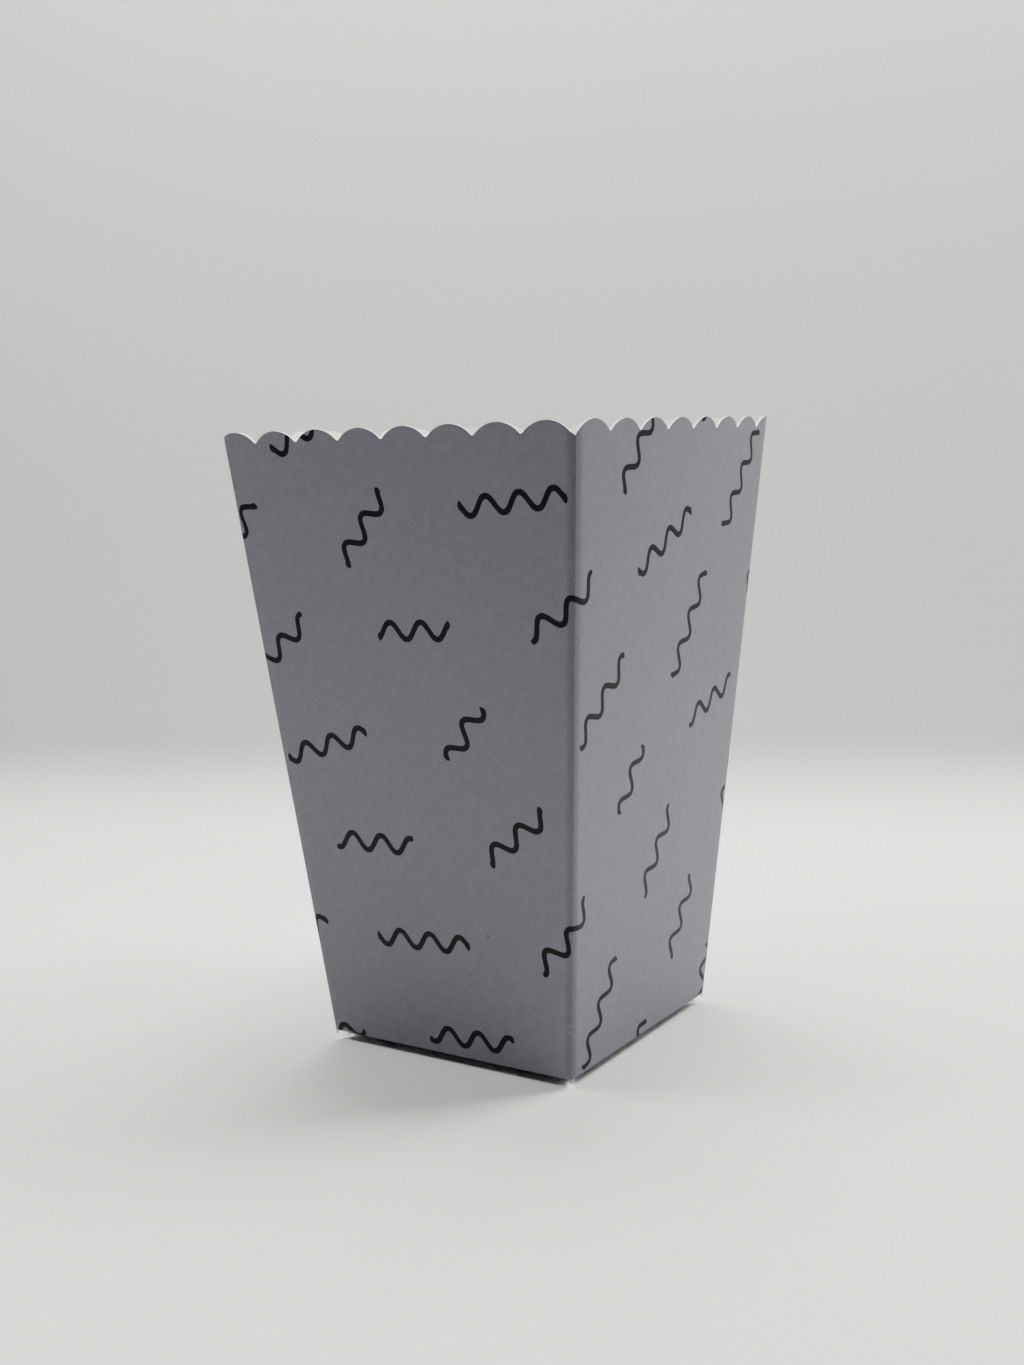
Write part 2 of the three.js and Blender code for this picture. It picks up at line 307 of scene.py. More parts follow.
class Wall:
    """One wall of the sleeve. Distances run along its rim from its left end, seen from outside."""

    def __init__(self, carton, quarter, is_side, backwards):
        size = carton.size
        self.carton = carton
        self.quarter = quarter
        self.is_side = is_side
        self.backwards = backwards
        self.seam = quarter == 2  # the back wall is glued over the tab at its left end
        self.width = size.side_top if is_side else size.front_top
        self.base = size.side_base if is_side else size.front_base
        self.rim_start = size.side_rim_start if is_side else size.front_rim_start

    def reach(self, z):
        """Half the box's depth at the wall: how far its outer face is from the middle."""
        return self.carton.half(z, not self.is_side)

    def half_width(self, z):
        """Half the wall's own width at a height."""
        return self.carton.half(z, self.is_side)

    def rim_height(self, distance):
        """Height of the scalloped edge at a distance from the wall's left end."""
        size, carton = self.carton.size, self.carton
        past = (self.width - distance if self.backwards else distance) - self.rim_start
        if past < 0:
            return carton.rim_z + size.corner_notch * past / self.rim_start
        from_valley = abs(past - size.scallop_pitch * round(past / size.scallop_pitch))
        if from_valley < carton.valley_reach:
            return carton.rim_z + size.valley_radius - math.sqrt(size.valley_radius ** 2 - from_valley ** 2)
        from_crown = size.scallop_pitch / 2 - from_valley
        return carton.scallop_centre_z + math.sqrt(size.scallop_radius ** 2 - from_crown ** 2)

    def foot_distance(self, distance):
        """Distance from the nearer end of the wall, carried down from the rim to the base crease."""
        radius = self.carton.size.corner_radius
        from_end = min(distance, self.width - distance)
        return radius + (from_end - radius) * (self.base - 2 * radius) / (self.width - 2 * radius)

    def stations(self):
        """Distances where the card's edges need a point, in order from the wall's left end."""
        size, carton = self.carton.size, self.carton
        radius = size.corner_radius
        found = []
        valley = self.rim_start
        while valley < self.width:
            for step in range(-VALLEY_STEPS, VALLEY_STEPS + 1):
                found.append(valley + carton.valley_reach * step / VALLEY_STEPS)
            for step in range(1, SCALLOP_STEPS):
                swing = carton.scallop_swing * (2 * step / SCALLOP_STEPS - 1)
                found.append(valley + size.scallop_pitch / 2 + size.scallop_radius * math.sin(swing))
            valley += size.scallop_pitch
        if self.backwards:
            found = [self.width - distance for distance in found]
        spread = (self.width - 2 * radius) / (self.base - 2 * radius)
        for foot in (size.flap_inset - size.flap_nick, size.flap_inset):
            inset = radius + (foot - radius) * spread
            found += [inset, self.width - inset]
        for step in range(CORNER_STEPS + 1):
            found += [radius * step / CORNER_STEPS, self.width - radius * step / CORNER_STEPS]
        for step in range(1, DIP_STEPS + 1):
            inland = radius + size.crease_reach * step / DIP_STEPS
            found += [inland, self.width - inland]
        apart = size.valley_radius / 6  # a point nearer than this to the one before it is left out
        first = size.seam_edge_gap if self.seam else 0.0
        kept = [first] if self.seam else []
        for distance in sorted(found):
            if distance > (kept[-1] if kept else 0.0) + apart and distance < self.width - apart:
                kept.append(distance)
        return kept + [self.width]

    def split(self, distance):
        """The share of the flat between two creases that a distance has crossed, and what is beyond it."""
        radius = self.carton.size.corner_radius
        flat = self.width - 2 * radius
        along = min(max((distance - radius) / flat, 0.0), 1.0)
        return along, distance - radius - along * flat

    def turned(self, x, y, z):
        """A point of the front wall's own frame, turned to this wall's side of the box."""
        for _ in range(self.quarter):
            x, y = -y, x
        return Vector((x, y, z))

    def place(self, distance, z, depth):
        """A point of the card. Each wall owns half of the round crease at both its ends."""
        size = self.carton.size
        radius = size.corner_radius
        along, past = self.split(distance)
        at_seam = self.seam and distance < self.width / 2
        angle = 0.0 if at_seam else past / radius * math.pi / 4
        dip = 0.0 if at_seam else size.crease_dip * self.nearness(distance) ** 2
        slide = past if at_seam else math.copysign(dip, self.width / 2 - distance)
        height = (z - size.base_drop) / self.carton.wall_height
        spring = 4 * along * (1 - along) * height ** 2 * (size.side_bow if self.is_side else 0.0)
        across = along * RIPPLES_ACROSS + RIPPLE_SHIFT * self.quarter
        uneven = noise.noise(Vector((across, height * RIPPLES_UP, RIPPLE_SLICE)))
        # A wall is held straight by its creases, at both its ends and at its foot.
        loose = math.sin(math.pi * along) * math.sin(math.pi * min(height * 2, 1) / 2)
        spring += size.ripple * uneven * loose
        x = (2 * along - 1) * (self.half_width(z) - radius) + slide + (radius - depth) * math.sin(angle)
        y = dip - (self.reach(z) - radius + spring) - (radius - depth) * math.cos(angle)
        return self.turned(x, y, z)

    def nearness(self, distance):
        """How near a crease is: 1 at the crease's bend, 0 at the edge of its pressed strip and beyond."""
        size = self.carton.size
        inland = min(distance, self.width - distance) - size.corner_radius
        return 1.0 - min(max(inland / size.crease_reach, 0.0), 1.0)


class Carton:
    """The folded sheet: its walls in order along the blank, and the sizes that they share."""

    def __init__(self, size):
        self.size = size
        reach = size.scallop_radius + size.valley_radius
        self.scallop_swing = math.asin(size.scallop_pitch / 2 / reach)
        self.valley_reach = size.valley_radius * math.sin(self.scallop_swing)
        crown_rise = size.scallop_radius + size.valley_radius - reach * math.cos(self.scallop_swing)
        self.rim_z = carton_high.z - crown_rise
        self.scallop_centre_z = carton_high.z - size.scallop_radius
        self.wall_height = self.rim_z - size.base_drop
        self.crease_z = size.base_drop + size.base_fold_radius
        # Back, left, front and right, from left to right on the blank's printed side.
        self.walls = [
            Wall(self, quarter=2, is_side=False, backwards=True),
            Wall(self, quarter=3, is_side=True, backwards=True),
            Wall(self, quarter=0, is_side=False, backwards=True),
            Wall(self, quarter=1, is_side=True, backwards=False),
        ]
        self.lay_out_blank()

    def half(self, z, is_side):
        """Half the outside width of a pair of walls at a height."""
        size = self.size
        base, top = (size.side_base, size.side_top) if is_side else (size.front_base, size.front_top)
        return (base + (top - base) * (z - size.base_drop) / self.wall_height) / 2

    def lay_out_blank(self):
        """Finds where each wall lies on the flat blank: every wall joins its neighbour at their crease."""
        corner = Vector((0.0, 0.0))
        crease = math.pi / 2
        for wall in self.walls:
            lean = (wall.reach(self.rim_z) - wall.reach(self.size.base_drop)) / self.wall_height
            wall.slant = math.hypot(1.0, lean)
            splay = math.atan((wall.width - wall.base) / 2 / (self.wall_height * wall.slant))
            wall.blank_turn = crease - math.pi / 2 - splay
            wall.blank_corner = corner.copy()
            corner += wall.base * Vector((math.cos(wall.blank_turn), math.sin(wall.blank_turn)))
            crease = wall.blank_turn + math.pi / 2 - splay

    def blank_point(self, wall, from_middle, up):
        """A point of the flat blank: so far right of a wall's middle line, so far up from its crease."""
        cos, sin = math.cos(wall.blank_turn), math.sin(wall.blank_turn)
        right = from_middle + wall.base / 2
        return wall.blank_corner + Vector((right * cos - up * sin, right * sin + up * cos))


def flap_section(carton, wall):
    """The base flap's section from its tip to its crease: inward distance, height, the card's inward
    normal and the path length beyond the crease."""
    size = carton.size
    # The front flap lies lowest, the back flap on it, and both side flaps on top.
    layer = {0: 0, 2: 1}.get(wall.quarter, 2)
    level = layer * (size.card + size.flap_gap)
    length = size.side_flap_length if wall.is_side else size.main_flap_length
    radius = size.base_fold_radius
    drop, run = carton.crease_z - level, size.base_slope_run - radius
    slope = math.atan2(drop, run) - math.asin(radius / math.hypot(drop, run))
    section = []
    for row in range(FOLD_ROWS + 1):
        angle = (math.pi / 2 - slope) * row / FOLD_ROWS
        inward, up = math.cos(angle), math.sin(angle)
        section.append((radius - radius * inward, carton.crease_z - radius * up, inward, up, radius * angle))
    start_in, start_z, _, _, path = section[-1]
    for row in range(1, SLOPE_ROWS + 1):
        share = row / SLOPE_ROWS
        tilt = slope / 2 if row == SLOPE_ROWS else slope
        inward = start_in + (size.base_slope_run - start_in) * share
        height = start_z + (level - start_z) * share
        beyond = path + (inward - start_in) / math.cos(slope)
        section.append((inward, height, math.sin(tilt), math.cos(tilt), beyond))
    bend_path = section[-1][4]
    for row in range(1, FLAT_ROWS + 1):
        inward = size.base_slope_run + (length - size.base_slope_run) * row / FLAT_ROWS
        section.append((inward, level, 0.0, 1.0, bend_path + inward - size.base_slope_run))
    return section[::-1]


def wall_column(carton, wall, distance, section):
    """One column of points up the sheet, from the flap's tip if it has one, to the rim."""
    size = carton.size
    has_flap = wall.foot_distance(distance) > size.flap_inset - size.flap_nick / 2
    from_end = min(distance, wall.width - distance)
    tip = size.foot_tip * max(1 - from_end / size.flap_inset, 0.0)
    foot = carton.crease_z if has_flap else size.base_drop - tip
    rim = wall.rim_height(distance)
    radius = size.corner_radius
    along, past = wall.split(distance)
    chamfer = size.side_flap_chamfer if wall.is_side else size.main_flap_chamfer
    half_crease = wall.base / 2 - size.flap_inset
    column = []
    for inward, height, normal_in, normal_up, path in section[:-1]:
        if not has_flap:
            column.append(None)
            continue
        narrowing = (half_crease - min(inward, chamfer)) / half_crease
        middle = (2 * along - 1) * (wall.half_width(carton.crease_z) - radius) * narrowing
        outer = wall.turned(middle, inward - wall.reach(carton.crease_z), height)
        inner = outer + size.card * wall.turned(0.0, normal_in, normal_up)
        column.append((outer, inner, carton.blank_point(wall, middle, -path), FAR, FAR))
    for row in range(WALL_ROWS + 1):
        z = foot + (rim - foot) * row / WALL_ROWS
        middle = (2 * along - 1) * (wall.half_width(z) - radius) + past
        up = (z - size.base_drop) * wall.slant
        blank = carton.blank_point(wall, middle, up)
        outer, inner = wall.place(distance, z, 0.0), wall.place(distance, z, size.card)
        column.append((outer, inner, blank, from_end, z - size.base_drop))
    return column


def tab_columns(carton, wall):
    """The right wall's back edge bent through the seam's crease, and the glue tab that it ends in."""
    size = carton.size
    radius = size.corner_radius
    inside = size.card + size.flap_gap
    bent = [(step / CORNER_STEPS, 0.0) for step in range(1, CORNER_STEPS + 1)]
    flat = [(1.0, size.tab_width * step / TAB_STEPS) for step in range(1, TAB_STEPS + 1)]
    columns = []
    for share, beyond in bent + flat:
        turn = math.pi / 4 * (1 + share)
        sunk = size.crease_dip + (inside - size.crease_dip) * share
        shorter = size.tab_end_gap + size.tab_slant * beyond / size.tab_width
        column = [None] * FLAP_ROWS
        for row in range(WALL_ROWS + 1):
            low, high = size.base_drop + shorter, carton.rim_z - shorter
            z = low + (high - low) * row / WALL_ROWS
            centre_x = carton.half(z, False) - size.crease_dip - radius
            centre_y = carton.half(z, True) - sunk - radius
            points = []
            for depth in (0.0, size.card):
                x = centre_x + (radius - depth) * math.cos(turn) - beyond
                y = centre_y + (radius - depth) * math.sin(turn)
                points.append(Vector((x, y, z)))
            middle = wall.half_width(z) + beyond + radius * (turn - math.pi / 4) / 2
            blank = carton.blank_point(wall, middle, (z - size.base_drop) * wall.slant)
            column.append((points[0], points[1], blank, beyond, FAR))
        columns.append(column)
    return columns


def build_sheet(carton):
    """The whole folded sheet as one closed mesh of card with a thickness."""
    columns, owners = [], []
    for wall in carton.walls:
        section = flap_section(carton, wall)
        for distance in wall.stations():
            columns.append(wall_column(carton, wall, distance, section))
            owners.append(wall.quarter)
    for column in tab_columns(carton, carton.walls[-1]):
        columns.append(column)
        owners.append("tab")
    mesh = bpy.data.meshes.new("folded_carton")
    form = bmesh.new()
    blank_layer = form.verts.layers.float_vector.new("blank_mm")
    # Distances from the upright crease and from the foot: they place the crease wear and the painted crease
    # shade.
    wear_and_shade_layer = form.verts.layers.float_vector.new("wear_and_shade_mm")
    made = {}
    for i, column in enumerate(columns):
        for j, point in enumerate(column):
            if point is None:
                continue
            outer, inner, blank, from_crease, from_foot = point
            for side, place in enumerate((outer, inner)):
                vertex = form.verts.new(place)
                vertex[blank_layer] = (blank.x / MM, blank.y / MM, 0.0)
                vertex[wear_and_shade_layer] = (from_crease / MM, from_foot / MM, 0.0)
                made[i, j, side] = vertex
    rows = FLAP_ROWS + WALL_ROWS

    def is_cell(i, j):
        """Whether there is card between two columns and two rows. Flaps don't join round a corner."""
        if not (0 <= i < len(columns) - 1 and 0 <= j < rows):
            return False
        if j < FLAP_ROWS and owners[i] != owners[i + 1]:
            return False
        return all((i + a, j + b, 0) in made for a in (0, 1) for b in (0, 1))

    def add_face(corners, slot):
        """One smooth face between made points, in one of the two material slots."""
        face = form.faces.new([made[corner] for corner in corners])
        face.material_index = slot
        face.smooth = True

    for i in range(len(columns) - 1):
        for j in range(rows):
            if not is_cell(i, j):
                continue
            ring = [(i, j), (i + 1, j), (i + 1, j + 1), (i, j + 1)]
            add_face([(a, b, 0) for a, b in ring], PRINTED)
            add_face([(a, b, 1) for a, b in reversed(ring)], BARE)
            beside = [(i, j - 1), (i + 1, j), (i, j + 1), (i - 1, j)]
            for k, neighbour in enumerate(beside):
                if is_cell(*neighbour):
                    continue
                start, end = ring[k], ring[(k + 1) % 4]
                add_face([(*end, 0), (*start, 0), (*start, 1), (*end, 1)], BARE)
    form.normal_update()
    for edge in form.edges:
        if edge.calc_face_angle(0.0) > SHARP_ANGLE:
            edge.smooth = False
    form.to_mesh(mesh)
    form.free()
    return mesh


def wave_mask(tree, blank, look):
    """A mask of round-ended wavy lines on a half-drop repeat, one to a cell, each its own length and tilt."""
    # Millimetres of the blank become cells of the repeat, with every second column half a cell lower.
    repeat = (look.repeat_across / MM, look.repeat_up / MM, 1.0)
    scaled = add_node(tree, "ShaderNodeVectorMath", {0: blank, 1: repeat}, operation="DIVIDE")
    parts = add_node(tree, "ShaderNodeSeparateXYZ", {"Vector": scaled.outputs["Vector"]})
    column = add_node(tree, "ShaderNodeMath", {0: parts.outputs["X"]}, operation="FLOOR")
    odd_column = add_node(tree, "ShaderNodeMath", {
        0: column.outputs["Value"], 1: 2.0}, operation="FLOORED_MODULO")
    dropped = add_node(tree, "ShaderNodeMath", {
        0: odd_column.outputs["Value"], 1: 0.5, 2: parts.outputs["Y"]}, operation="MULTIPLY_ADD")
    grid = add_node(tree, "ShaderNodeCombineXYZ", {
        "X": parts.outputs["X"], "Y": dropped.outputs["Value"]})
    cell = add_node(tree, "ShaderNodeVectorMath", {0: grid.outputs["Vector"]}, operation="FLOOR")
    within = add_node(tree, "ShaderNodeVectorMath", {0: grid.outputs["Vector"]}, operation="FRACTION")
    chance = add_node(tree, "ShaderNodeTexWhiteNoise", {"Vector": cell.outputs["Vector"]})
    chances = add_node(tree, "ShaderNodeSeparateXYZ", {"Vector": chance.outputs["Color"]})

    # In each cell the place is measured in millimetres from the middle, and turned by the cell's tilt.
    from_middle = add_node(tree, "ShaderNodeVectorMath", {
        0: within.outputs["Vector"], 1: (0.5, 0.5, 0.0)}, operation="SUBTRACT")
    local = add_node(tree, "ShaderNodeVectorMath", {
        0: from_middle.outputs["Vector"], 1: repeat}, operation="MULTIPLY")
    tilt = add_node(tree, "ShaderNodeMapRange", {
        "Value": chances.outputs["X"],
        "To Min": look.tilt_range / 2 - look.tilt, "To Max": -look.tilt_range / 2 - look.tilt})
    turned = add_node(tree, "ShaderNodeVectorRotate", {
        "Vector": local.outputs["Vector"], "Angle": tilt.outputs["Result"]}, rotation_type="Z_AXIS")
    place = add_node(tree, "ShaderNodeSeparateXYZ", {"Vector": turned.outputs["Vector"]})

    # Past its two ends the line is held at its last point, which rounds them.
    half_run = add_node(tree, "ShaderNodeMapRange", {
        "Value": chances.outputs["Y"], "To Min": look.wave_shortest / 2 / MM,
        "To Max": (look.wave_shortest + look.wave_length_range) / 2 / MM})
    other_end = add_node(tree, "ShaderNodeMath", {
        0: half_run.outputs["Result"], 1: -1.0}, operation="MULTIPLY")
    held = add_node(tree, "ShaderNodeClamp", {
        "Value": place.outputs["X"], "Min": other_end.outputs["Value"], "Max": half_run.outputs["Result"]})
    beyond = add_node(tree, "ShaderNodeMath", {
        0: place.outputs["X"], 1: held.outputs["Result"]}, operation="SUBTRACT")

    # The line's middle is a sine wave, and the distance from it is measured square to its slope.
    radians_per_mm = 2 * math.pi * MM / look.wave_pitch
    swing = look.wave_height / 2 / MM
    phase = add_node(tree, "ShaderNodeMath", {
        0: held.outputs["Result"], 1: radians_per_mm}, operation="MULTIPLY")
    sine = add_node(tree, "ShaderNodeMath", {0: phase.outputs["Value"]}, operation="SINE")
    cosine = add_node(tree, "ShaderNodeMath", {0: phase.outputs["Value"]}, operation="COSINE")
    middle = add_node(tree, "ShaderNodeMath", {0: sine.outputs["Value"], 1: swing}, operation="MULTIPLY")
    slope = add_node(tree, "ShaderNodeMath", {
        0: cosine.outputs["Value"], 1: swing * radians_per_mm}, operation="MULTIPLY")
    steepness_squared = add_node(tree, "ShaderNodeMath", {
        0: slope.outputs["Value"], 1: slope.outputs["Value"], 2: 1.0}, operation="MULTIPLY_ADD")
    steepness = add_node(tree, "ShaderNodeMath", {0: steepness_squared.outputs["Value"]}, operation="SQRT")
    above = add_node(tree, "ShaderNodeMath", {
        0: place.outputs["Y"], 1: middle.outputs["Value"]}, operation="SUBTRACT")
    aside = add_node(tree, "ShaderNodeMath", {
        0: above.outputs["Value"], 1: steepness.outputs["Value"]}, operation="DIVIDE")
    offset = add_node(tree, "ShaderNodeCombineXYZ", {
        "X": beyond.outputs["Value"], "Y": aside.outputs["Value"]})
    distance = add_node(tree, "ShaderNodeVectorMath", {0: offset.outputs["Vector"]}, operation="LENGTH")
    half_width = look.line_width / 2 / MM
    mask = add_node(tree, "ShaderNodeMapRange", {
        "Value": distance.outputs["Value"],
        "From Min": half_width - INK_EDGE, "From Max": half_width + INK_EDGE,
        "To Min": 1.0, "To Max": 0.0}, interpolation_type="SMOOTHSTEP")
    return mask.outputs["Result"]


def printed_board_material(look, speck):
    """Clay-coated folding board, offset printed with a flood of grey and a matt varnish.

    To the eye it is an even cool grey with a faint paper mottle and a low sheen at a glancing angle,
    darkened beside the upright creases by painted shade, with white fibres where the coating has cracked
    along them."""
    material, tree, shader = new_material("printed_folding_board")
    blank = add_node(tree, "ShaderNodeAttribute", {}, attribute_name="blank_mm").outputs["Vector"]
    wear_and_shade_distances = add_node(tree, "ShaderNodeAttribute", {}, attribute_name="wear_and_shade_mm").outputs["Vector"]
    wear_and_shade_parts = add_node(tree, "ShaderNodeSeparateXYZ", {"Vector": wear_and_shade_distances})
    from_crease, from_foot = wear_and_shade_parts.outputs["X"], wear_and_shade_parts.outputs["Y"]

    # Paper mottle: clouds about 2 mm across and grain about 0.4 mm across, both very faint.
    clouds = add_node(tree, "ShaderNodeTexNoise", {
        "Vector": blank, "Scale": 0.45, "Detail": 3.0, "Roughness": 0.6})
    grain = add_node(tree, "ShaderNodeTexNoise", {
        "Vector": blank, "Scale": 2.4, "Detail": 2.0, "Roughness": 0.7})
    mottle = add_node(tree, "ShaderNodeMix", {
        "Factor": 0.6, NUMBER_A: clouds.outputs["Fac"], NUMBER_B: grain.outputs["Fac"]}, data_type="FLOAT")
    lightness = add_node(tree, "ShaderNodeMapRange", {
        "Value": mottle.outputs[NUMBER_OUT], "From Min": 0.3, "From Max": 0.7,
        "To Min": 0.86, "To Max": 1.14})

    # Painted shade: the grey is darkened along each upright crease, standing in for the shade of the crease's
    # dip.
    painted_crease_shade = add_node(tree, "ShaderNodeMapRange", {
        "Value": from_crease, "From Min": 1.0, "From Max": 2.6, "To Min": 0.84, "To Max": 1.0},
        interpolation_type="SMOOTHSTEP")
    # The paper mottle times the painted crease shade.
    mottle_and_painted_shade = add_node(tree, "ShaderNodeMath", {
        0: lightness.outputs["Result"], 1: painted_crease_shade.outputs["Result"]}, operation="MULTIPLY")
    flood = add_node(tree, "ShaderNodeVectorMath", {
        0: linear_colour(look.card_hex)[:3], "Scale": mottle_and_painted_shade.outputs["Value"]}, operation="SCALE")

    inked = add_node(tree, "ShaderNodeMix", {
        "Factor": wave_mask(tree, blank, look), COLOUR_A: flood.outputs["Vector"],
        COLOUR_B: linear_colour(look.ink_hex)}, data_type="RGBA")

    # Cracked coating: short white fibres along an upright crease, more in some stretches than others.
    fibre_place = add_node(tree, "ShaderNodeVectorMath", {0: blank, 1: (2.6, 0.8, 1.0)}, operation="MULTIPLY")
    fibres = add_node(tree, "ShaderNodeTexNoise", {
        "Vector": fibre_place.outputs["Vector"], "Scale": 1.0, "Detail": 4.0, "Roughness": 0.7})
    stretches = add_node(tree, "ShaderNodeTexNoise", {"Vector": blank, "Scale": 0.07, "Detail": 1.0})
    near_crease = add_node(tree, "ShaderNodeMapRange", {
        "Value": from_crease, "From Min": 1.0, "From Max": 2.2, "To Min": 0.17, "To Max": -0.3})
    worn_stretch = add_node(tree, "ShaderNodeMapRange", {
        "Value": stretches.outputs["Fac"], "From Min": 0.42, "From Max": 0.6, "To Min": -0.08, "To Max": 0.0})
    at_foot = add_node(tree, "ShaderNodeMapRange", {
        "Value": from_foot, "From Min": -0.6, "From Max": 0.7, "To Min": 0.4, "To Max": 0.0})
    crease_wear = add_node(tree, "ShaderNodeMath", {
        0: near_crease.outputs["Result"], 1: worn_stretch.outputs["Result"]}, operation="ADD")
    wear_here = add_node(tree, "ShaderNodeMath", {
        0: crease_wear.outputs["Value"], 1: at_foot.outputs["Result"]}, operation="ADD")
    wear_sum = add_node(tree, "ShaderNodeMath", {
        0: wear_here.outputs["Value"], 1: fibres.outputs["Fac"]}, operation="ADD")
    cracked = add_node(tree, "ShaderNodeMapRange", {
        "Value": wear_sum.outputs["Value"], "From Min": 0.76, "From Max": 0.84, "To Min": 0.0, "To Max": 0.6})
    worn = add_node(tree, "ShaderNodeMix", {
        "Factor": cracked.outputs["Result"], COLOUR_A: inked.outputs[COLOUR_OUT],
        COLOUR_B: linear_colour(look.fibre_hex)}, data_type="RGBA")

    # One small brown fleck in the board, low on the front wall.
    from_speck = add_node(tree, "ShaderNodeVectorMath", {
        0: blank, 1: (speck.x / MM, speck.y / MM, 0.0)}, operation="DISTANCE")
    fleck = add_node(tree, "ShaderNodeMapRange", {
        "Value": from_speck.outputs["Value"], "From Min": 0.2, "From Max": 0.55,
        "To Min": 0.55, "To Max": 0.0})
    final = add_node(tree, "ShaderNodeMix", {
        "Factor": fleck.outputs["Result"], COLOUR_A: worn.outputs[COLOUR_OUT],
        COLOUR_B: linear_colour(look.speck_hex)}, data_type="RGBA")
    tree.links.new(final.outputs[COLOUR_OUT], shader.inputs["Base Color"])

    roughness = add_node(tree, "ShaderNodeMapRange", {
        "Value": grain.outputs["Fac"], "From Min": 0.3, "From Max": 0.7, "To Min": 0.46, "To Max": 0.56})
    tree.links.new(roughness.outputs["Result"], shader.inputs["Roughness"])
    height = add_node(tree, "ShaderNodeMath", {
        0: grain.outputs["Fac"], 1: cracked.outputs["Result"]}, operation="ADD")
    bump = add_node(tree, "ShaderNodeBump", {
        "Height": height.outputs["Value"], "Strength": 0.25, "Distance": 0.02 * MM})
    tree.links.new(bump.outputs["Normal"], shader.inputs["Normal"])
    shader.inputs["IOR"].default_value = 1.45
    shader.inputs["Specular IOR Level"].default_value = 0.15
    return material


def bare_board_material(look):
    """Uncoated bleached board: the white inside of the box and every cut edge.

    To the eye it is a warm matt white with a fine fibre grain and no sheen."""
    material, tree, shader = new_material("bare_white_board")
    place = add_node(tree, "ShaderNodeTexCoord", {}).outputs["Object"]
    fibres = add_node(tree, "ShaderNodeTexNoise", {
        "Vector": place, "Scale": 1 / (0.7 * MM), "Detail": 4.0, "Roughness": 0.7})
    lightness = add_node(tree, "ShaderNodeMapRange", {
        "Value": fibres.outputs["Fac"], "From Min": 0.3, "From Max": 0.7, "To Min": 0.95, "To Max": 1.03})
    colour = add_node(tree, "ShaderNodeVectorMath", {
        0: linear_colour(look.board_hex)[:3], "Scale": lightness.outputs["Result"]}, operation="SCALE")
    tree.links.new(colour.outputs["Vector"], shader.inputs["Base Color"])
    bump = add_node(tree, "ShaderNodeBump", {
        "Height": fibres.outputs["Fac"], "Strength": 0.3, "Distance": 0.02 * MM})
    tree.links.new(bump.outputs["Normal"], shader.inputs["Normal"])
    shader.inputs["Roughness"].default_value = 0.85
    shader.inputs["IOR"].default_value = 1.5
    return material


def sweep_material(stage):
    """Matt plastic sheet of a light tent: white underfoot, and a pale grey where it stands upright.

    Its back is clear, so that the box can be looked at from behind and from below."""
    material, tree, shader = new_material("matt_light_tent_sheet")
    place = add_node(tree, "ShaderNodeTexCoord", {}).outputs["Object"]
    parts = add_node(tree, "ShaderNodeSeparateXYZ", {"Vector": place})
    upright = add_node(tree, "ShaderNodeMapRange", {
        "Value": parts.outputs["Z"], "From Min": 0.0, "From Max": stage.sweep_radius},
        interpolation_type="SMOOTHSTEP")
    shade = add_node(tree, "ShaderNodeMix", {
        "Factor": upright.outputs["Result"], COLOUR_A: linear_colour(stage.floor_hex),
        COLOUR_B: linear_colour(stage.backdrop_hex)}, data_type="RGBA")
    clouds = add_node(tree, "ShaderNodeTexNoise", {"Vector": place, "Scale": 6.0, "Detail": 2.0})
    lightness = add_node(tree, "ShaderNodeMapRange", {
        "Value": clouds.outputs["Fac"], "From Min": 0.3, "From Max": 0.7, "To Min": 0.985, "To Max": 1.01})
    colour = add_node(tree, "ShaderNodeVectorMath", {
        0: shade.outputs[COLOUR_OUT], "Scale": lightness.outputs["Result"]}, operation="SCALE")
    tree.links.new(colour.outputs["Vector"], shader.inputs["Base Color"])
    shader.inputs["Roughness"].default_value = 0.9
    clear = add_node(tree, "ShaderNodeBsdfTransparent", {})
    sides = add_node(tree, "ShaderNodeMixShader", {
        0: add_node(tree, "ShaderNodeNewGeometry", {}).outputs["Backfacing"],
        1: shader.outputs["BSDF"], 2: clear.outputs["BSDF"]})
    output = next(node for node in tree.nodes if node.type == "OUTPUT_MATERIAL")
    tree.links.new(sides.outputs["Shader"], output.inputs["Surface"])
    return material


def link_to_scene(name, data):
    """A new object with this data, linked to the scene."""
    made = bpy.data.objects.new(name, data)
    bpy.context.scene.collection.objects.link(made)
    return made


class POPCORNBOX_OT_fold_carton(bpy.types.Operator):
    """Folds the sheet of printed card into the box"""

    bl_idname = "popcorn_box.fold_carton"
    bl_label = "Fold the carton"

    def execute(self, context):
        carton = Carton(context.scene.popcorn_box_sizes)
        look = context.scene.popcorn_box_print
        _, _, front, _ = carton.walls
        speck = carton.blank_point(front, SPECK_FROM_MIDDLE, SPECK_UP)
        piece = link_to_scene("folded_carton", build_sheet(carton))
        piece.data.materials.append(printed_board_material(look, speck))
        piece.data.materials.append(bare_board_material(look))
        low = Vector(map(min, *[v.co for v in piece.data.vertices]))
        high = Vector(map(max, *[v.co for v in piece.data.vertices]))
        worst = max(max(abs(a - b) for a, b in zip(low, carton_low)),
                    max(abs(a - b) for a, b in zip(high, carton_high)))
        if worst > FRAME_TOLERANCE:
            raise RuntimeError(f"the folded card is {worst / MM:.2f} mm away from its node's box")
        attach(piece, "root")
        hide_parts("carton")
        return {"FINISHED"}


